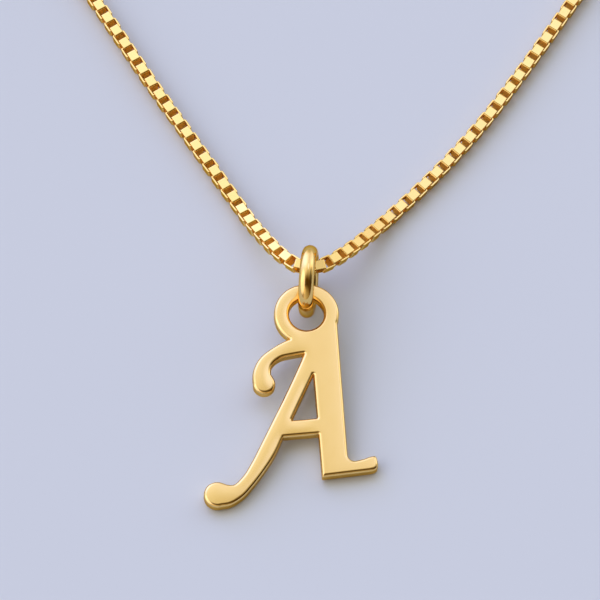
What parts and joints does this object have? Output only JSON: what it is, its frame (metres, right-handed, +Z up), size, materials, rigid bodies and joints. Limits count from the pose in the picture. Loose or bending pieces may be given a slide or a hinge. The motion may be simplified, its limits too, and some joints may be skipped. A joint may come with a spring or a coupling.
{
  "type": "initial pendant necklace",
  "caption": "Flat letter A pendant with an eyelet, hung by a thick jump ring on a fine box chain loop with a plain round clasp.",
  "frame": {"origin": "on the surface that the necklace lies on, under the middle of its bounding box", "axes": "+Y from the letter's foot to the clasp along the surface, +X to the right seen from above, +Z up off the surface"},
  "size_m": [0.123, 0.1949, 0.0054],
  "materials": {
    "polished_gold": "polished gold plate with very fine wear marks",
    "chain_gold": "polished gold plate on small folded links"
  },
  "bodies": {
    "root": {"letter": "polished_gold", "jump_ring": "polished_gold", "chain": "chain_gold", "clasp": "polished_gold"}
  },
  "joints": []
}
